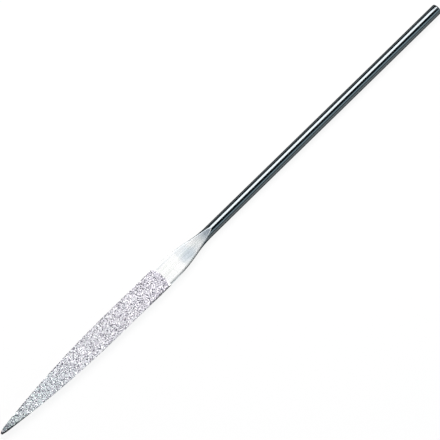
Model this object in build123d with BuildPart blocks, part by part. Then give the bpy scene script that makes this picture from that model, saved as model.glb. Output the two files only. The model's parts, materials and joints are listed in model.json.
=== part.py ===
from build123d import *
import os
from math import acos, degrees

# Diamond needle file of the half-round pattern: a one-piece steel blank with a long plain round
# shank, and a blade that is flat on top and rounded below. A thin electroplated nickel layer
# covers the blade and holds a single layer of diamond grains by their roots.
#
# All lengths are in millimetres. +X runs from the blade's tip to the butt end of the shank, +Z
# points out of the flat face, and the origin is under the middle of the length, at the height
# of the lowest line of the file. A station is a distance from the steel tip along the file.

# Whole file
overall_length = 215.0
shank_diameter = 4.0
butt_edge_radius = 0.5

# Blade of the steel blank, before it is coated
blade_width = 8.2
blade_thickness = 2.85
edge_land = 0.25
taper_length = 53.0
full_width_length = 78.0

# Tip, which is blunt, with a nose rounded at its sides and below
tip_width = 1.0
tip_land = 0.75
tip_land_length = 14.0
nose_length = 3.0
nose_inset = 0.25

# Neck, where the blade narrows into the round shank, and where the belly's grinding runs out
neck_length = 21.0
neck_fillet_share = 0.4
belly_length = 61.0
belly_runout_length = 10.0

# Flat face, and the hollow that the grinding wheel leaves where it runs out into the shank
flat_height = 1.05
flat_length = 85.5
runout_radius = 110.0

# Coating
coated_length = 76.5
nickel_thickness = 0.12
grain_exposure = 0.10

# Cross-sections: their spacing on the coated blade, which is a chain of short straight tapers,
# their spacing in the smooth nose and neck, the fewest steps in one form, and how tall the part
# above the widest line is on the blade, in half widths, before the flat is cut
blade_pitch = 3.0
neck_pitch = 2.5
least_steps = 4
crown_share = 3.0

# How far a cutter passes its work
cut_overrun = 2.0

# Sizes worked out from those above
shank_radius = shank_diameter / 2
blade_half_width = blade_width / 2
tip_half_width = tip_width / 2
coating_thickness = nickel_thickness + grain_exposure
belly_drop = blade_thickness - flat_height
belly_depth_share = (blade_thickness - edge_land) / blade_half_width
axis_height = max(shank_radius, belly_drop + coating_thickness)
butt_x = overall_length / 2
tip_x = coating_thickness - butt_x
shank_start = full_width_length + neck_length
grinding_half_width = blade_half_width + cut_overrun


# Outline of the blade and the neck, as formulas of the station

def limited(share):
    return min(1, max(0, share))


def taper_share(station):
    """How full the blade is along its taper: 0 at the tip, 1 from the taper's end on."""
    return 1 - (1 - limited(station / taper_length)) ** 2


def neck_share(station):
    """How much of the blade is left along the neck: 1 on the blade, 0 on the round shank.

    The curve is two tangent parabolas, one that swells into the blade and a shorter one that
    fillets it into the shank.
    """
    along_share = limited((shank_start - station) / neck_length)
    if along_share < neck_fillet_share:
        return along_share**2 / neck_fillet_share
    return 1 - (1 - along_share) ** 2 / (1 - neck_fillet_share)


def grinding_share(station):
    """How much of the belly's grinding is left: 1 on the blade, 0 on the forged neck."""
    along_share = limited((station - belly_length) / belly_runout_length)
    return 1 - along_share**2 * (3 - 2 * along_share)


def nose_cut(station):
    """What the rounding of the nose takes from each side."""
    return nose_inset * (1 - limited(station / nose_length)) ** 3


def ground_half_width(station):
    """Half width of the tapered blade, before the neck narrows it."""
    tapered = tip_half_width + (blade_half_width - tip_half_width) * taper_share(station)
    return tapered - nose_cut(station)


def half_width(station):
    return shank_radius + (ground_half_width(station) - shank_radius) * neck_share(station)


def land_level(station):
    """Height above the shank's axis of the lower edge of the land beside the flat."""
    near_tip = (1 - limited(station / tip_land_length)) ** 2
    return flat_height - edge_land - (tip_land - edge_land) * near_tip


def edge_level(station):
    """Height above the shank's axis of the widest line, where the belly meets the side."""
    return land_level(station) * grinding_share(station)


def belly_level(station):
    """Height above the shank's axis of the lowest line of the belly.

    The depth of the belly's arc is a fixed share of the half width all along the blade.
    """
    on_blade = land_level(station) - belly_depth_share * ground_half_width(station)
    return -shank_radius + (on_blade + shank_radius) * neck_share(station)


def crown_ratio(station):
    """Height of the section over its widest line, in half widths: 1 on the round shank."""
    return 1 + (crown_share - 1) * neck_share(station)


# Forms shared by the blank and the two layers of its coating

def section_plane(station):
    """Plane across the file, with its own x along +Y and its own y along +Z."""
    return Plane(origin=(tip_x + station, 0, axis_height), x_dir=(0, 1, 0), z_dir=(1, 0, 0))


def blade_section(station, cover):
    """Cross-section of the blade or the neck, grown by a cover on every side."""
    width = half_width(station) + cover
    level = edge_level(station)
    belly = belly_level(station) - cover
    with BuildSketch(section_plane(station)) as section:
        with BuildLine():
            ThreePointArc((-width, level), (0, belly), (width, level))
            EllipticalCenterArc((0, level), width, width * crown_ratio(station), arc_size=180)
        make_face()
    return section.sketch


def sections_between(start, end, pitch, cover):
    steps = max(least_steps, round((end - start) / pitch))
    places = [start + (end - start) * step / steps for step in range(steps + 1)]
    return [blade_section(place, cover) for place in places]


def nose_sections(cover):
    return sections_between(-cover, nose_length, neck_pitch, cover)


def blade_sections(cover):
    return sections_between(nose_length, coated_length, blade_pitch, cover)


def neck_sections():
    return sections_between(coated_length, shank_start, neck_pitch, 0)


def ground_away(cover):
    """Side view of what is ground off over the flat face, raised by a cover, and its run-out."""
    arc_radius = runout_radius - cover
    flat = flat_height + cover
    top = shank_radius + crown_share * blade_half_width + cut_overrun
    arc_angle = degrees(acos(1 - (top - flat) / arc_radius))
    side_plane = Plane(origin=(tip_x, 0, axis_height), x_dir=(1, 0, 0), z_dir=(0, -1, 0))
    with BuildSketch(side_plane) as profile:
        with BuildLine():
            flat_line = Line((-cut_overrun, flat), (flat_length, flat))
            runout = JernArc(flat_line @ 1, (1, 0), arc_radius, arc_angle)
            Polyline(runout @ 1, (-cut_overrun, top), flat_line @ 0)
        make_face()
    return profile.sketch


# Steel blank: shank, neck and blade from one piece of wire, forged and ground

with BuildPart() as steel_blank:
    loft(nose_sections(0))
    loft(blade_sections(0), ruled=True)
    loft(neck_sections())
    with BuildSketch(section_plane(shank_start)):
        Circle(shank_radius)
    extrude(amount=butt_x - tip_x - shank_start)
    extrude(ground_away(0), amount=grinding_half_width, both=True, mode=Mode.SUBTRACT)
    butt_face = steel_blank.faces().sort_by(Axis.X)[-1]
    fillet(butt_face.edges(), butt_edge_radius)
steel_blank.part.label = "steel_blank"


# Nickel bond: the plated layer that holds the grains, closed over the tip

with BuildPart() as nickel_bond:
    loft(nose_sections(nickel_thickness))
    loft(blade_sections(nickel_thickness), ruled=True)
    extrude(
        ground_away(nickel_thickness), amount=grinding_half_width, both=True, mode=Mode.SUBTRACT
    )
    add(steel_blank.part, mode=Mode.SUBTRACT)
nickel_bond.part.label = "nickel_bond"


# Diamond grit: the layer from the bond's surface to the tops of the grains that stand out of it

with BuildPart() as diamond_grit:
    loft(nose_sections(coating_thickness))
    loft(blade_sections(coating_thickness), ruled=True)
    extrude(
        ground_away(coating_thickness), amount=grinding_half_width, both=True, mode=Mode.SUBTRACT
    )
    add(nickel_bond.part, mode=Mode.SUBTRACT)
    add(steel_blank.part, mode=Mode.SUBTRACT)
diamond_grit.part.label = "diamond_grit"


os.makedirs("parts", exist_ok=True)
export_step(steel_blank.part, "parts/steel_blank.step")
export_step(nickel_bond.part, "parts/nickel_bond.step")
export_step(diamond_grit.part, "parts/diamond_grit.step")
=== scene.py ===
import json
from math import asin, atan2, cos, pi, radians, sin, sqrt, tan
from random import Random

import bmesh
import bpy
from mathutils import Matrix, Quaternion, Vector, noise


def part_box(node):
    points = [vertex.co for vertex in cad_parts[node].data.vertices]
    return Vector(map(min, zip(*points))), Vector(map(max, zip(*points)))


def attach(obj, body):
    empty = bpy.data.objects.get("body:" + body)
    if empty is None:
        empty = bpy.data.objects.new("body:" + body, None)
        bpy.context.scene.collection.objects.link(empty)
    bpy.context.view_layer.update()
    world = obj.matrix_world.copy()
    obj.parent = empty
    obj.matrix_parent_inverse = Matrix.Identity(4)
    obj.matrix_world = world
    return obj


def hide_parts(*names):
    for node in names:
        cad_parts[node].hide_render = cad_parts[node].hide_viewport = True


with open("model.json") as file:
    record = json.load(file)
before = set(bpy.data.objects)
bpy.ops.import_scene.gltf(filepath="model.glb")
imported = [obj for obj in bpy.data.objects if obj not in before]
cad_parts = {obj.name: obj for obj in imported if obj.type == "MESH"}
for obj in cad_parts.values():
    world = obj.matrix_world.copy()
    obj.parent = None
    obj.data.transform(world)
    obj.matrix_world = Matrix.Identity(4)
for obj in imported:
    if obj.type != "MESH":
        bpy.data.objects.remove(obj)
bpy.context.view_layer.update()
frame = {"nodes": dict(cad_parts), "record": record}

# The diamond needle file as photographed: a polished round shank, a ground neck and a blade
# whose nickel coat holds single diamond grains. All lengths are in metres, in the part's frame:
# +X from the tip to the butt, +Z out of the flat, and the floor at height 0. The camera leans
# to the near side, which is -Y. A station is a distance from the blank's tip along the file.

MM = 0.001
SEED = 7

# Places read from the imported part
blank_low, blank_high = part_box("steel_blank")
bond_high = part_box("nickel_bond")[1]
grit_low, grit_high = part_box("diamond_grit")
shank_mount = next(m for m in frame["record"]["mounts"] if m["name"] == "shank")
axis_height = shank_mount["pos_m"][2]
shank_radius = shank_mount["dims"]["r_mm"] * MM
grain_exposure = grit_high.z - bond_high.z

# Blade of the steel blank, before it is coated
tip_half_width = 0.5 * MM
blade_half_width = 4.1 * MM
blade_thickness = 2.85 * MM
edge_land = 0.25 * MM
taper_length = 53 * MM
full_width_length = 78 * MM

# Tip, which is blunt, with a nose rounded at its sides
tip_land = 0.75 * MM
tip_land_length = 14 * MM
nose_length = 3 * MM
nose_inset = 0.25 * MM

# Neck and butt, the flat with its hollow run-out, and where the belly's grinding runs out
neck_length = 21 * MM
neck_fillet_share = 0.4
belly_length = 61 * MM
belly_runout_length = 10 * MM
flat_height = 1.05 * MM
flat_length = 85.5 * MM
runout_radius = 110 * MM
crown_share = 3.0
butt_edge_radius = 0.5 * MM

# Coat: where its grains end, in an arch that lies further along in the middle of the flat than
# at its sides, and the width over which the bare nickel past them turns from a band of painted
# shade to pale
coat_end_band = 0.15 * MM
coat_end_arch = 1.2 * MM
bare_nickel_width = 0.35 * MM

# Places of the coat by the tip without grains, where the nickel is painted dark as shade: the
# side walls, and a strip along the near side whose distance from the middle grows from its
# start by a slope
tip_stretch_length = 12 * MM
shade_strip_start = 0.16 * MM
shade_strip_slope = 0.150

# Sizes worked out from those above
blank_top = axis_height + flat_height
neck_end = full_width_length + neck_length
belly_depth_share = (blade_thickness - edge_land) / blade_half_width
grain_end = bond_high.x - coat_end_band


def placed(origin, right, up, back):
    """The matrix that puts an object at an origin and turns it to three axes."""
    return Matrix.Translation(origin) @ Matrix((right, up, back)).transposed().to_4x4()


def add_object(name, data):
    made = bpy.data.objects.new(name, data)
    bpy.context.scene.collection.objects.link(made)
    return made


# Camera. Both tilts are 0 square above the flat, and the roll is the file's slant in the
# picture. The lens is in millimetres.

lengthwise_tilt = radians(11.5)
sideways_tilt = radians(12.5)
camera_roll = radians(44.31)
camera_distance = 0.76
camera_lens = 180.04
camera_clip_start = 0.01
camera_clip_end = 20
aim_from_tip = 0.1050
aim_aside = 0.0002


def build_camera():
    """The photograph's view: from above, leaning to the tip's end and to the near side."""
    along = Vector((
        cos(lengthwise_tilt),
        -sin(lengthwise_tilt) * sin(sideways_tilt),
        sin(lengthwise_tilt) * cos(sideways_tilt),
    ))
    across = Vector((0, cos(sideways_tilt), sin(sideways_tilt)))
    right = cos(camera_roll) * along - sin(camera_roll) * across
    up = sin(camera_roll) * along + cos(camera_roll) * across
    back = right.cross(up)
    aim = Vector((grit_low.x + aim_from_tip, aim_aside, axis_height))
    camera = add_object("camera", bpy.data.cameras.new("camera"))
    camera.data.lens = camera_lens
    camera.data.clip_start = camera_clip_start
    camera.data.clip_end = camera_clip_end
    camera.matrix_world = placed(aim + back * camera_distance, right, up, back)
    bpy.context.scene.camera = camera


# Light. The key lies level over the file and gleams along the shank: it reaches from the near
# angle to the far angle off the upright, as the shank's axis sees it.

key_height = 0.60
key_near_angle = radians(6.5)
key_far_angle = radians(46)
key_start_x = -0.008
key_end_x = 0.44
key_radiance = 8.65
key_tint = (1.0, 0.95, 0.935)

side_centre = Vector((0.27, -0.655, 0.45))
side_aim = Vector((0.05, 0, 0))
side_width = 1.1
side_height = 0.37
side_radiance = 1.6
side_tint = (0.76, 0.93, 1.0)

overhead_centre = Vector((-0.30, 0.22, 0.80))
overhead_aim = Vector((-0.05, 0, 0))
overhead_width = 0.6
overhead_radiance = 1.3

end_centre = Vector((0.70, 0.05, 0.65))
end_aim = Vector((0, 0, 0))
end_width = 0.5
end_radiance = 1.6

studio_colour = (0.010, 0.024, 0.034)
studio_strength = 1


def add_softbox(name, centre, aim, width, height, radiance, tint=(1, 1, 1)):
    """A rectangular lamp of a given radiance. Its width lies level, as near +X as it can."""
    lamp = bpy.data.lights.new(name, "AREA")
    lamp.shape = "RECTANGLE"
    lamp.size = width
    lamp.size_y = height
    lamp.energy = radiance * pi * width * height
    lamp.color = tint
    back = (centre - aim).normalized()
    side = Vector((1, 0, 0))
    side = (side - back * side.dot(back)).normalized()
    softbox = add_object(name, lamp)
    softbox.matrix_world = placed(centre, side, back.cross(side), back)
    softbox.visible_camera = False


def build_lights():
    near = key_height * tan(key_near_angle)
    far = key_height * tan(key_far_angle)
    centre = Vector(((key_start_x + key_end_x) / 2, (near + far) / 2, key_height + axis_height))
    below = centre - Vector((0, 0, 1))
    add_softbox("key", centre, below, key_end_x - key_start_x, far - near, key_radiance, key_tint)
    add_softbox("side", side_centre, side_aim, side_width, side_height, side_radiance, side_tint)
    add_softbox(
        "overhead", overhead_centre, overhead_aim, overhead_width, overhead_width, overhead_radiance
    )
    add_softbox("end", end_centre, end_aim, end_width, end_width, end_radiance)


def build_studio():
    """A dim even surrounding, which the polished steel reflects between the lamps."""
    world = bpy.data.worlds.new("studio")
    world.use_nodes = True
    background = world.node_tree.nodes["Background"]
    background.inputs["Color"].default_value = (*studio_colour, 1)
    background.inputs["Strength"].default_value = studio_strength
    bpy.context.scene.world = world


# Materials. Most values of a noise lie between its low and its high.

black = (0, 0, 0)
white = (1, 1, 1)
noise_low = 0.3
noise_high = 0.7
clump_size = 0.39 * MM


def grey(level):
    return level, level, level


class Shader:
    """A node material under construction, with short calls for the nodes used here."""

    def __init__(self, name):
        self.material = bpy.data.materials.new(name)
        self.material.use_nodes = True
        self.tree = self.material.node_tree
        self.surface = self.tree.nodes["Principled BSDF"]

    def node(self, kind, **settings):
        made = self.tree.nodes.new(kind)
        for key, value in settings.items():
            setattr(made, key, value)
        return made

    def fill(self, socket, value):
        """Links a socket to another node's output, or sets it to a plain value."""
        if isinstance(value, bpy.types.NodeSocket):
            self.tree.links.new(value, socket)
        else:
            socket.default_value = value

    def set(self, **values):
        """Fills sockets of the surface by name, with _ for a space."""
        for key, value in values.items():
            self.fill(self.surface.inputs[key.replace("_", " ")], value)

    def place(self, scale=(1, 1, 1), shift=(0, 0, 0)):
        """The object's own coordinates in metres, scaled and then shifted."""
        mapping = self.node("ShaderNodeMapping")
        self.fill(mapping.inputs["Vector"], self.node("ShaderNodeTexCoord").outputs["Object"])
        self.fill(mapping.inputs["Scale"], scale)
        self.fill(mapping.inputs["Location"], shift)
        return mapping.outputs["Vector"]

    def component(self, vector, axis):
        """X, Y or Z of a vector."""
        split = self.node("ShaderNodeSeparateXYZ")
        self.fill(split.inputs["Vector"], vector)
        return split.outputs[axis]

    def math(self, operation, *values):
        made = self.node("ShaderNodeMath", operation=operation)
        for socket, value in zip(made.inputs, values):
            self.fill(socket, value)
        return made.outputs["Value"]

    def rescale(self, value, start, end, low=0, high=1):
        """The value between start and end carried to low and high, and clamped."""
        scale = self.node("ShaderNodeMapRange")
        self.fill(scale.inputs["Value"], value)
        self.fill(scale.inputs["From Min"], start)
        self.fill(scale.inputs["From Max"], end)
        self.fill(scale.inputs["To Min"], low)
        self.fill(scale.inputs["To Max"], high)
        return scale.outputs["Result"]

    def ramp(self, value, stops):
        """A colour ramp with stops as (position, colour)."""
        ramp = self.node("ShaderNodeValToRGB")
        elements = ramp.color_ramp.elements
        elements[0].position, elements[1].position = stops[0][0], stops[-1][0]
        elements[0].color, elements[1].color = (*stops[0][1], 1), (*stops[-1][1], 1)
        for position, colour in stops[1:-1]:
            elements.new(position).color = (*colour, 1)
        self.fill(ramp.inputs["Fac"], value)
        return ramp.outputs["Color"]

    def multiplied(self, colour, *tints):
        """The colour times each tint in turn."""
        for tint in tints:
            mix = self.node("ShaderNodeMix", data_type="RGBA", blend_type="MULTIPLY")
            self.fill(mix.inputs["Factor"], 1)
            self.fill(mix.inputs["A"], colour)
            self.fill(mix.inputs["B"], tint)
            colour = mix.outputs["Result"]
        return colour

    def blended(self, colour, other, share):
        """The colour where the share is 0, and the other plain colour where it is 1."""
        mix = self.node("ShaderNodeMix", data_type="RGBA")
        self.fill(mix.inputs["Factor"], share)
        self.fill(mix.inputs["A"], colour)
        self.fill(mix.inputs["B"], (*other, 1))
        return mix.outputs["Result"]

    def bump(self, value, height):
        """The surface's normal over a relief of a height, in metres, that follows a value."""
        bump = self.node("ShaderNodeBump")
        self.fill(bump.inputs["Distance"], height)
        self.fill(bump.inputs["Height"], value)
        return bump.outputs["Normal"]

    def noise(self, size, length_ratio=1, detail=3, roughness=0.5):
        """Noise with lumps of about a size, in metres, which are longer along X by a ratio."""
        texture = self.node("ShaderNodeTexNoise")
        self.fill(texture.inputs["Vector"], self.place(scale=(1 / length_ratio, 1, 1)))
        self.fill(texture.inputs["Scale"], 1 / size)
        self.fill(texture.inputs["Detail"], detail)
        self.fill(texture.inputs["Roughness"], roughness)
        return texture.outputs["Fac"]

    def clumps(self):
        """The noise that gathers the coat, nickel and grains alike, into dark and pale clumps; the
        dark is painted shade between grains, and in the grains partly their own darker tone.
        """
        return self.noise(clump_size, detail=2, roughness=0.6)

    def varied(self, noise, low, high):
        """A number that follows a noise, from low to high."""
        return self.rescale(noise, noise_low, noise_high, low, high)

    def along(self, start_x, end_x, stops):
        """A colour ramp along the file, from one place on X to another."""
        return self.ramp(self.rescale(self.component(self.place(), "X"), start_x, end_x), stops)

    def from_centre(self, centre, reach):
        """Distance over the flat from a centre, in shares of a reach along and across."""
        length = self.node("ShaderNodeVectorMath", operation="LENGTH")
        scale = (1 / reach[0], 1 / reach[1], 0)
        shift = (-centre[0] / reach[0], -centre[1] / reach[1], 0)
        self.fill(length.inputs[0], self.place(scale, shift))
        return length.outputs["Value"]

    def beside_line(self, slope, start, softness):
        """0 on the near side of a slanting line over the flat, and 1 on its other side.

        The line leaves the file's middle by the start and the slope times the way from the tip.
        """
        product = self.node("ShaderNodeVectorMath", operation="DOT_PRODUCT")
        self.fill(product.inputs[0], self.place())
        self.fill(product.inputs[1], (slope, 1, 0))
        edge = slope * blank_low.x - start
        return self.rescale(product.outputs["Value"], edge, edge + softness)

    def arched_x(self):
        """Place on X, moved on beside the middle so that the grains' arched end is one value."""
        place = self.place()
        across = self.component(place, "Y")
        squared = self.math("MULTIPLY", across, across)
        arch = coat_end_arch / blade_half_width**2
        return self.math("MULTIPLY_ADD", squared, arch, self.component(place, "X"))

    def facing_up(self, start, end, least):
        """White on level faces, and the least grey on walls as painted shade, by how far the normal
        is upright.
        """
        normal = self.node("ShaderNodeNewGeometry").outputs["Normal"]
        upright = self.math("ABSOLUTE", self.component(normal, "Z"))
        return self.ramp(self.rescale(upright, start, end), [(0, grey(least)), (1, white)])


# Polished steel

drawn_line_size = 0.12 * MM
drawn_line_ratio = 250
neck_tone_length = 14 * MM
neck_gleam_length = 11 * MM


def polished_material():
    """Polished dark steel with fine lines drawn along the file, brighter beside the coat.

    The specular tint is what the metal reflects at a grazing angle: white only on the neck, and
    black elsewhere, which darkens the shank's rims as painted shade.
    """
    steel = Shader("polished_steel")
    lines = steel.noise(drawn_line_size, drawn_line_ratio, detail=2)
    bright = steel.ramp(lines, [
        (noise_low, (0.687, 0.787, 0.84)), (noise_high, (0.827, 0.94, 1.0))
    ])
    neck = steel.along(bond_high.x, bond_high.x + neck_tone_length, [
        (0.25, grey(0.72)), (0.42, grey(0.40)), (0.60, grey(0.18)), (1.0, grey(0.15))
    ])
    gleam = steel.along(bond_high.x, bond_high.x + neck_gleam_length, [
        (0.35, white), (0.75, black)
    ])
    steel.set(
        Base_Color=steel.multiplied(bright, neck),
        Metallic=1.0,
        Roughness=steel.varied(lines, 0.10, 0.18),
        # Black grazing tint away from the neck: painted shade on the shank's rims
        Specular_Tint=gleam,
    )
    return steel.material


# Ground steel, with the stretch of painted shade and reflection that follows the run-out, and a
# patch of painted reflection on the neck

scratch_size = 0.40 * MM
scratch_ratio = 50
scratch_depth = 0.002 * MM
streak_size = 1.3 * MM
streak_ratio = 20
runout_shade_start = -1 * MM
runout_shade_end = 14 * MM
reflection_patch_place = blank_low.x + 88.6 * MM, -0.9 * MM
reflection_patch_reach = 5.0 * MM, 2.3 * MM


def ground_material():
    """Bright ground steel with lengthwise scratches, with painted shade and reflection that make it
    bluer and darker where the grinding ends, and a darker, bluer patch of painted reflection on the
    neck.
    """
    steel = Shader("ground_steel")
    lines = steel.noise(scratch_size, scratch_ratio, detail=4, roughness=0.65)
    scratched = steel.ramp(lines, [
        (0.30, (0.152, 0.160, 0.160)),
        (0.44, (0.171, 0.179, 0.180)),
        (0.62, (0.182, 0.190, 0.192)),
    ])
    flat_end = blank_low.x + flat_length
    # Painted shade and reflection: darker just past the flat's end, then darker and bluer toward
    # the end of the run-out
    runout = steel.along(flat_end + runout_shade_start, flat_end + runout_shade_end, [
        (0.0, white),
        (0.05, (0.86, 0.88, 0.90)),
        (0.30, (0.83, 0.87, 0.90)),
        (0.45, white),
        (0.66, (0.96, 0.98, 1.0)),
        (0.78, (0.77, 0.82, 0.88)),
        (0.86, (0.61, 0.67, 0.75)),
        (1.0, (0.54, 0.61, 0.70)),
    ])
    streaks = steel.noise(streak_size, streak_ratio, roughness=0.6)
    dull = steel.ramp(streaks, [
        (0.40, (0.88, 0.91, 0.89)), (0.46, white), (0.54, white), (0.60, (0.90, 0.93, 0.95))
    ])
    # Painted reflection: a darker, bluer patch on the neck
    painted_reflection = steel.ramp(steel.from_centre(reflection_patch_place, reflection_patch_reach), [
        (0.45, (0.80, 0.84, 0.88)), (1.0, white)
    ])
    steel.set(
        Base_Color=steel.multiplied(scratched, runout, dull, painted_reflection),
        Metallic=1.0,
        Roughness=steel.varied(lines, 0.22, 0.34),
        Normal=steel.bump(lines, scratch_depth),
    )
    return steel.material


# Worn edges of the steel, made bright partly as a painted highlight

edge_wear_size = 0.5 * MM
edge_wear_ratio = 5


def edge_material():
    """Bright steel on the worn edges between the ground face and the side walls: partly wear, and
    partly a painted highlight along them.
    """
    steel = Shader("worn_and_highlight_edge_steel")
    tone_shift = steel.noise(edge_wear_size, edge_wear_ratio, detail=2)
    steel.set(
        Base_Color=steel.ramp(tone_shift, [(0.35, (0.42, 0.44, 0.45)), (0.6, (0.62, 0.64, 0.65))]),
        Metallic=1.0,
        Roughness=steel.varied(tone_shift, 0.50, 0.62),
    )
    return steel.material


# Nickel

nickel_lump_size = 0.30 * MM
nickel_lump_height = 0.04 * MM
shade_strip_softness = 0.06 * MM
# How upright a normal is on a wall and on the flat, and how dark the walls are painted as shade
wall_upright = 0.35
flat_upright = 0.65
wall_shade_level = 0.04


def nickel_material():
    """Satin nickel between the grains, with painted shade where they clump, on the walls and on a
    strip along the near side by the tip, and darker toward the tip.

    Past the grains it is bare: a purplish band of painted shade along their edge, and then
    smooth and pale.
    """
    nickel = Shader("satin_nickel")
    lumps = nickel.noise(nickel_lump_size)
    # Dark clumps: painted shade in the gaps between grains
    clump_shade = nickel.ramp(nickel.clumps(), [
        (0.40, (0.04, 0.04, 0.065)),
        (0.44, (0.21, 0.225, 0.27)),
        (0.49, (0.86, 0.88, 0.90)),
    ])
    # Darker toward the tip
    tip_darkening = nickel.along(grit_low.x, grit_low.x + tip_stretch_length, [
        (0.0, (0.30, 0.35, 0.38)), (0.35, (0.50, 0.56, 0.58)), (1.0, white)
    ])
    past_grains = nickel.rescale(nickel.arched_x(), grain_end, grain_end + bare_nickel_width)
    # Painted shade: a dull purplish band where the grains end, before the bare nickel turns pale
    coat_end_shade = nickel.ramp(past_grains, [
        (0.0, (0.60, 0.56, 0.62)), (0.6, (0.50, 0.46, 0.52)), (1.0, white)
    ])
    bare = nickel.ramp(past_grains, [(0.6, black), (1.0, white)])
    plated = nickel.blended(clump_shade, (0.80, 0.81, 0.82), bare)
    # Painted shade: a dark strip along the near side by the tip
    shade_strip = nickel.ramp(
        nickel.beside_line(shade_strip_slope, shade_strip_start, shade_strip_softness),
        [(0, (0.05, 0.06, 0.065)), (1, white)],
    )
    # Painted shade: nearly black walls, with the strip by the tip, in colour and in grazing tint
    wall_shade = nickel.multiplied(nickel.facing_up(wall_upright, flat_upright, wall_shade_level), shade_strip)
    nickel.set(
        Base_Color=nickel.multiplied(plated, tip_darkening, coat_end_shade, wall_shade),
        Metallic=0.2,
        Roughness=nickel.varied(lumps, 0.40, 0.60),
        Specular_Tint=wall_shade,
        Normal=nickel.bump(lumps, nickel_lump_height),
    )
    return nickel.material


# Grains

grain_tone_length = 76 * MM
own_tone_reach = 0.12


def grain_material():
    """Pale diamond grains, in dark and light clumps whose dark is partly painted shade between
    grains, and greener and darker toward the tip.

    Each grain's own tone moves it up or down a little in the clumps' noise.
    """
    grain = Shader("diamond_grains")
    island = grain.node("ShaderNodeNewGeometry").outputs["Random Per Island"]
    own_tone = grain.rescale(island, 0, 1, -own_tone_reach, own_tone_reach)
    pale = grain.ramp(grain.math("ADD", grain.clumps(), own_tone), [
        (0.405, (0.0, 0.0, 0.015)),
        (0.432, (0.16, 0.18, 0.24)),
        (0.453, (0.95, 0.95, 0.98)),
        (0.485, white),
    ])
    # Darker and greener toward the tip, and purplish by the coat's end
    tone_shift = grain.along(grit_low.x, grit_low.x + grain_tone_length, [
        (0.0, (0.10, 0.17, 0.20)),
        (0.035, (0.29, 0.38, 0.40)),
        (0.07, (0.74, 0.88, 0.83)),
        (0.12, (0.83, 0.98, 0.93)),
        (0.30, (0.83, 0.98, 0.96)),
        (0.45, (0.95, 1.0, 1.0)),
        (0.80, (0.98, 0.99, 1.0)),
        (1.0, (0.87, 0.86, 0.92)),
    ])
    grain.set(Base_Color=grain.multiplied(pale, tone_shift), Roughness=0.14, IOR=2.42)
    return grain.material


def shaded_grain_material():
    """Grains painted near black along edges of the coat, as painted shade and painted dark
    reflection.
    """
    grain = Shader("shaded_grains")
    island = grain.node("ShaderNodeNewGeometry").outputs["Random Per Island"]
    grimed = grain.ramp(island, [
        (0.0, (0.015, 0.015, 0.018)), (0.6, (0.05, 0.05, 0.055)), (1.0, (0.20, 0.20, 0.22))
    ])
    grain.set(Base_Color=grimed, Roughness=0.5, IOR=1.6, Specular_Tint=(*grey(0.2), 1))
    return grain.material


# Steel blank. Cuts across it lie close together by the coat's end and on the neck, and the edge
# of the ground face is rounded more on the far side than on the near one.

blade_pitch = 3 * MM
neck_pitch = 0.4 * MM
shank_pitch = 4 * MM
fine_before_coat_end = 2 * MM
fine_past_neck = 4 * MM

chord_steps = 6
edge_steps = 3
side_steps = 14
belly_steps = 22
round_steps = 6
far_worn_highlight_steps = 1

far_edge_round = 0.22 * MM
near_edge_round = 0.04 * MM
near_apex_round = 0.14 * MM

weld_distance = 0.0005 * MM
sharp_angle = radians(30)

# Places of the finishes in the blank's list of materials
POLISHED, GROUND, WORN_AND_HIGHLIGHT = range(3)


def limited(share):
    return min(1, max(0, share))


def blank_section(station):
    """Half width, widest level, lowest level and height over the widest level, at a station.

    Levels are measured from the shank's axis.
    """
    taper = 1 - (1 - limited(station / taper_length)) ** 2
    ground = tip_half_width + (blade_half_width - tip_half_width) * taper
    ground -= nose_inset * (1 - limited(station / nose_length)) ** 3
    along = limited((neck_end - station) / neck_length)
    if along < neck_fillet_share:
        neck = along**2 / neck_fillet_share
    else:
        neck = 1 - (1 - along) ** 2 / (1 - neck_fillet_share)
    near_tip = (1 - limited(station / tip_land_length)) ** 2
    land_level = flat_height - edge_land - (tip_land - edge_land) * near_tip
    runout = limited((station - belly_length) / belly_runout_length)
    width = shank_radius + (ground - shank_radius) * neck
    level = land_level * (1 - runout**2 * (3 - 2 * runout))
    lowest = land_level - belly_depth_share * ground
    lowest = -shank_radius + (lowest + shank_radius) * neck
    return width, level, lowest, width * (1 + (crown_share - 1) * neck)


def ground_level(station):
    """Height of the ground flat and its hollow run-out over the shank's axis."""
    past = max(0, station - flat_length)
    if past >= runout_radius:
        return flat_height + runout_radius
    return flat_height + runout_radius - sqrt(runout_radius**2 - past**2)


def top_edge(station):
    """Half width of the ground face, its level, and the angle at which it cuts the crown."""
    width, level, _, crown = blank_section(station)
    cut = asin(limited((ground_level(station) - level) / crown))
    return width * cos(cut), level + crown * sin(cut), cut


def near_round(station):
    """Rounding of the near edge, which grows toward the end of the run-out."""
    share = limited((station - flat_length) / (neck_end - flat_length))
    return near_edge_round + (near_apex_round - near_edge_round) * share


def rounded_corner(start, corner, end):
    """Points on a quadratic curve that rounds a corner, from its start up to but not at its end."""
    points = []
    for step in range(edge_steps):
        share = step / edge_steps
        weights = (1 - share) ** 2, 2 * share * (1 - share), share**2
        points.append(tuple(
            sum(weight * point[i] for weight, point in zip(weights, (start, corner, end)))
            for i in (0, 1)
        ))
    return points


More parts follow.
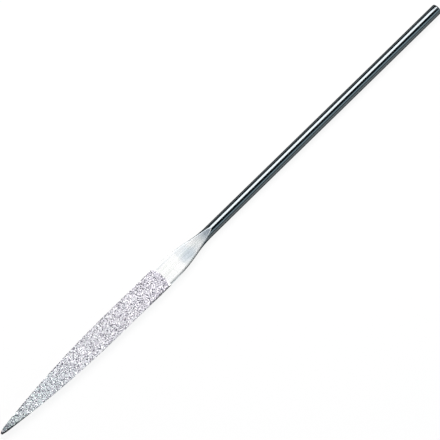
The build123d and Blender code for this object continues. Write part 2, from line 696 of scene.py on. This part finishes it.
def half_ring(station, edge_round):
    """Points on one side of the section, from the middle of the top to the middle of the belly."""
    width, level, lowest, crown = blank_section(station)
    edge, top, cut = top_edge(station)
    rounded = min(edge_round, edge / 2)
    side_per_radian = sqrt((width * sin(cut)) ** 2 + (crown * cos(cut)) ** 2)
    side_start = cut - min(rounded / side_per_radian, cut / 2)
    side_top = width * cos(side_start), level + crown * sin(side_start)
    ring = [((edge - rounded) * step / chord_steps, top) for step in range(chord_steps)]
    ring += rounded_corner((edge - rounded, top), (edge, top), side_top)
    for step in range(side_steps):
        angle = side_start * (1 - step / side_steps)
        ring.append((width * cos(angle), level + crown * sin(angle)))
    depth = level - lowest
    radius = (width**2 + depth**2) / (2 * depth)
    reach = asin(limited(width / radius))
    for step in range(belly_steps + 1):
        angle = reach * (1 - step / belly_steps)
        ring.append((radius * sin(angle), lowest + radius - radius * cos(angle)))
    return ring


def full_ring(station, scale):
    """Points round the section, scaled about the shank's axis."""
    far_side = half_ring(station, far_edge_round)
    near_side = half_ring(station, near_round(station))
    ring = far_side + [(-y, z) for y, z in near_side[-2:0:-1]]
    return [(blank_low.x + station, y * scale, axis_height + z * scale) for y, z in ring]


def spaced(start, end, step):
    """Evenly spaced values from start up to but not at end, about a step apart."""
    count = max(1, round((end - start) / step))
    return [start + (end - start) * i / count for i in range(count)]


def blank_cuts():
    """Stations of the cuts across the blank, each with its scale, which the round butt needs."""
    round_start = blank_high.x - blank_low.x - butt_edge_radius
    fine_start = bond_high.x - blank_low.x - fine_before_coat_end
    fine_end = neck_end + fine_past_neck
    stations = spaced(0, fine_start, blade_pitch)
    stations += spaced(fine_start, fine_end, neck_pitch)
    stations += spaced(fine_end, round_start, shank_pitch)
    cuts = [(station, 1) for station in stations]
    for step in range(round_steps + 1):
        angle = pi / 2 * step / round_steps
        scale = 1 - butt_edge_radius * (1 - cos(angle)) / shank_radius
        cuts.append((round_start + butt_edge_radius * sin(angle), scale))
    return cuts


def finish_at(station, column, columns):
    """The finish of one face: ground on the flat, worn and bright as a painted highlight on its
    edges, and polished elsewhere.
    """
    far_side = column < columns / 2
    from_middle = column if far_side else columns - 1 - column
    if from_middle < chord_steps:
        return GROUND
    far_steps = far_worn_highlight_steps if station < flat_length else 0
    worn_highlight_steps = far_steps if far_side else edge_steps
    return WORN_AND_HIGHLIGHT if from_middle < chord_steps + worn_highlight_steps else POLISHED


def weld(mesh):
    """Joins points that fall together, as where the ground face ends, and shades smooth."""
    joined = bmesh.new()
    joined.from_mesh(mesh)
    bmesh.ops.remove_doubles(joined, verts=joined.verts, dist=weld_distance)
    bmesh.ops.recalc_face_normals(joined, faces=joined.faces)
    joined.to_mesh(mesh)
    joined.free()
    mesh.shade_smooth()
    mesh.set_sharp_from_angle(angle=sharp_angle)


def build_blank():
    """The steel blank with fine sections, so that its polish reflects smoothly."""
    cuts = blank_cuts()
    rings = [full_ring(station, scale) for station, scale in cuts]
    columns = len(rings[0])
    faces = [list(range(columns))]
    finishes = [POLISHED]
    for ring, (station, _) in enumerate(cuts[:-1]):
        here, after = ring * columns, (ring + 1) * columns
        for column in range(columns):
            aside = (column + 1) % columns
            faces.append([here + column, after + column, after + aside, here + aside])
            finishes.append(finish_at(station, column, columns))
    last = (len(rings) - 1) * columns
    faces.append([last + column for column in reversed(range(columns))])
    finishes.append(POLISHED)
    mesh = bpy.data.meshes.new("steel_blank_fine")
    mesh.from_pydata([point for ring in rings for point in ring], [], faces)
    for material in (polished_material(), ground_material(), edge_material()):
        mesh.materials.append(material)
    mesh.polygons.foreach_set("material_index", finishes)
    weld(mesh)
    blank = add_object("steel_blank_fine", mesh)
    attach(blank, "root")
    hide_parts("steel_blank")


# Nickel bond

def dress(node, material):
    """Gives a CAD node that stays in view its material."""
    slots = frame["nodes"][node].data.materials
    slots.clear()
    slots.append(material)


# Diamond grains. Their sizes are radii before they are squashed and flattened. The gaps are
# bare spots where a noise is under its level, and the far spots, where it is over, are grains
# painted dark as shade.

grain_spacing = 0.27 * MM
grain_tries_per_place = 5
grain_least_radius = 0.17 * MM
grain_most_radius = 0.24 * MM
grain_squash = 0.22
grain_height_share = 0.7
least_exposure_share = 0.55
gap_size = 0.6 * MM
gap_level = -0.4

# Strips of grains painted near black as shade: along the near edge and wall by the coat's end,
# and in spots along the far edge
near_end_length = 10 * MM
near_end_band = 0.30 * MM
shade_drop = 0.4 * MM
far_band = 0.22 * MM
far_spot_size = 0.5 * MM
far_spot_level = -0.15

# Limits of a normal's parts: a face at the coat's tip or end, a face on a side wall, and a
# crystal's face that looks down into the bond. The tolerance is for corners of one face.
end_lean = 0.9
wall_lean = 0.5
buried_lean = -0.05
face_tolerance = 0.01


def outer_faces(node):
    """Triangles of a coat's outer side, as corner points, a normal and an area.

    The coat's inner side and the ring where it ends on the neck are left out.
    """
    mesh = node.data
    found = []
    for face in mesh.polygons:
        if face.normal.x > end_lean:
            continue
        middle = Vector((face.center.x, 0, (bond_high.z + axis_height) / 2))
        if face.normal.x < -end_lean or face.normal.dot(face.center - middle) > 0:
            corners = [mesh.vertices[i].co.copy() for i in face.vertices]
            found.append((corners, face.normal.copy(), face.area))
    return found


def random_point(corners, random):
    """A point of a triangle, each as likely as any other."""
    a, b = random.random(), random.random()
    if a + b > 1:
        a, b = 1 - a, 1 - b
    return corners[0] + a * (corners[1] - corners[0]) + b * (corners[2] - corners[0])


def scattered_places(faces, random):
    """Random points on the faces about a grain's spacing apart, as (point, normal).

    A grid of cells as wide as the spacing holds the last point taken in each.
    """
    areas = [area for _, _, area in faces]
    tries = int(grain_tries_per_place * sum(areas) / grain_spacing**2)
    taken = {}
    places = []
    for corners, normal, _ in random.choices(faces, weights=areas, k=tries):
        point = random_point(corners, random)
        cell = tuple(int(c // grain_spacing) for c in point)
        near = (
            taken.get((cell[0] + i, cell[1] + j, cell[2] + k))
            for i in (-1, 0, 1) for j in (-1, 0, 1) for k in (-1, 0, 1)
        )
        if any(other and (point - other).length < grain_spacing for other in near):
            continue
        if noise.noise(point / gap_size) < gap_level or is_bare(point, normal):
            continue
        taken[cell] = point
        places.append((point, normal))
    return places


def is_bare(point, normal):
    """Whether the coat has no grains: past their arched end, and, by the tip, on the side walls
    and on a strip along the near one, where the nickel is painted dark as shade."""
    if point.x + coat_end_arch * (point.y / blade_half_width) ** 2 > grain_end:
        return True
    from_tip = point.x - blank_low.x
    if from_tip > tip_stretch_length:
        return False
    in_shade_strip = point.y < -shade_strip_start - shade_strip_slope * from_tip
    return abs(normal.z) < wall_lean or in_shade_strip


def is_shaded_grain(point, normal):
    """Whether a grain lies in a strip painted dark as shade."""
    by_end = point.x > bond_high.x - near_end_length
    if abs(normal.z) < wall_lean:
        return point.y < 0 and by_end and point.z > blank_top - shade_drop
    from_tip = point.x - blank_low.x
    inward = top_edge(max(0, from_tip))[0] + bond_high.z - blank_top - abs(point.y)
    if point.y > 0:
        spotted = noise.noise(point / far_spot_size) > far_spot_level
        return normal.z > 0 and inward < far_band and spotted
    return normal.z > 0 and by_end and inward < near_end_band


def cuboctahedron():
    """Corners and faces of a cuboctahedron of radius 1, the habit of blocky diamond grit."""
    steps = [(x, y, z) for x in (-1, 0, 1) for y in (-1, 0, 1) for z in (-1, 0, 1)]
    corners = [Vector(s).normalized() for s in steps if sum(map(abs, s)) == 2]
    directions = [Vector(s).normalized() for s in steps if sum(map(abs, s)) in (1, 3)]
    faces = []
    for direction in directions:
        reach = max(corner.dot(direction) for corner in corners) - face_tolerance
        around = [i for i, corner in enumerate(corners) if corner.dot(direction) > reach]
        first = corners[around[0]]
        side = (first - direction * first.dot(direction)).normalized()
        up = direction.cross(side)
        faces.append(sorted(around, key=lambda i: atan2(corners[i].dot(up), corners[i].dot(side))))
    return corners, faces


def random_turn(random):
    """A turn about a random axis, by a random angle."""
    axis = Vector((random.gauss(0, 1), random.gauss(0, 1), random.gauss(0, 1))).normalized()
    return Quaternion(axis, random.uniform(0, 2 * pi)).to_matrix()


def grown_crystal(crystal, normal, random):
    """Corners of one grain about its middle: squashed, turned, and flattened along the normal."""
    radius = random.uniform(grain_least_radius, grain_most_radius)
    squash = Matrix.Diagonal([
        random.uniform(1 - grain_squash, 1 + grain_squash) for _ in range(3)
    ])
    shape = random_turn(random) @ squash * radius
    corners = [shape @ corner for corner in crystal]
    return [corner - normal * corner.dot(normal) * (1 - grain_height_share) for corner in corners]


def looks_out(corners, face, normal):
    """Whether a crystal's face looks out of the bond or along it."""
    first, second, third = (corners[i] for i in face[:3])
    return (second - first).cross(third - second).normalized().dot(normal) > buried_lean


def kept_inside(point):
    """The point, drawn in to the sides, the tip and the bottom of the layer of grains."""
    half_width = blank_section(max(0, point.x - blank_low.x))[0] + grit_high.z - blank_top
    return Vector((
        max(grit_low.x, point.x), max(-half_width, min(half_width, point.y)), max(0, point.z)
    ))


def build_grains():
    """One mesh of separate crystals, sunk in the bond so that their tops reach the CAD layer."""
    random = Random(SEED)
    places = scattered_places(outer_faces(frame["nodes"]["nickel_bond"]), random)
    crystal, crystal_faces = cuboctahedron()
    points, fresh_faces, shaded_faces = [], [], []
    for place, normal in places:
        corners = grown_crystal(crystal, normal, random)
        top = max(corner.dot(normal) for corner in corners)
        stands_out = grain_exposure * random.uniform(least_exposure_share, 1)
        centre = place + normal * (stands_out - top)
        start = len(points)
        points.extend(kept_inside(centre + corner) for corner in corners)
        # Grains in the dark strips take the material painted near black as shade
        faces = shaded_faces if is_shaded_grain(place, normal) else fresh_faces
        for face in crystal_faces:
            if looks_out(corners, face, normal):
                faces.append([start + i for i in face])
    mesh = bpy.data.meshes.new("diamond_grains")
    mesh.from_pydata(points, [], fresh_faces + shaded_faces)
    mesh.materials.append(grain_material())
    mesh.materials.append(shaded_grain_material())
    for face in mesh.polygons[len(fresh_faces):]:
        face.material_index = 1
    grains = add_object("diamond_grains", mesh)
    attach(grains, "root")
    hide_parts("diamond_grit")


# Floor, a level disc of rings whose rim bends up

floor_radius = 6.0
floor_ring_shares = 0.05, 0.3, 1
floor_sides = 96
floor_bend_radius = 0.8
floor_bend_steps = 12
floor_tone_size = 0.4
floor_white_share = 0.9


def floor_material():
    """Pale floor that takes light and shadow, mixed with plain white where rays see it."""
    floor = Shader("pale_floor")
    tone = floor.noise(floor_tone_size, detail=2)
    floor.set(
        Base_Color=floor.ramp(tone, [(noise_low, grey(0.90)), (noise_high, grey(0.92))]),
        Roughness=0.9,
        Specular_IOR_Level=0.1,
    )
    rays = floor.node("ShaderNodeLightPath").outputs
    seen = rays["Is Camera Ray"]
    for kind in ("Is Glossy Ray", "Is Transmission Ray"):
        seen = floor.math("MAXIMUM", seen, rays[kind])
    blend = floor.node("ShaderNodeMixShader")
    floor.fill(blend.inputs["Fac"], floor.rescale(seen, 0, 1, 0, floor_white_share))
    floor.fill(blend.inputs[1], floor.surface.outputs["BSDF"])
    floor.fill(blend.inputs[2], floor.node("ShaderNodeEmission").outputs["Emission"])
    output = floor.tree.nodes["Material Output"]
    floor.fill(output.inputs["Surface"], blend.outputs["Shader"])
    return floor.material


def build_floor():
    """A round pale floor whose rim curves up, so that no view looks past it."""
    profile = [(share * floor_radius, 0.0) for share in floor_ring_shares]
    for step in range(1, floor_bend_steps + 1):
        angle = pi / 2 * step / floor_bend_steps
        profile.append((
            floor_radius + floor_bend_radius * sin(angle), floor_bend_radius * (1 - cos(angle))
        ))
    points, faces = [(0, 0, 0)], []
    for radius, height in profile:
        for side in range(floor_sides):
            angle = 2 * pi * side / floor_sides
            points.append((radius * cos(angle), radius * sin(angle), height))
    for side in range(floor_sides):
        after = (side + 1) % floor_sides
        faces.append((0, 1 + side, 1 + after))
        for ring in range(len(profile) - 1):
            here, out = 1 + ring * floor_sides, 1 + (ring + 1) * floor_sides
            faces.append((here + side, out + side, out + after, here + after))
    mesh = bpy.data.meshes.new("floor")
    mesh.from_pydata(points, [], faces)
    mesh.shade_smooth()
    mesh.materials.append(floor_material())
    floor = add_object("floor", mesh)


build_camera()
build_lights()
build_studio()
build_floor()
build_blank()
dress("nickel_bond", nickel_material())
build_grains()

bpy.context.scene.view_settings.view_transform = "Standard"
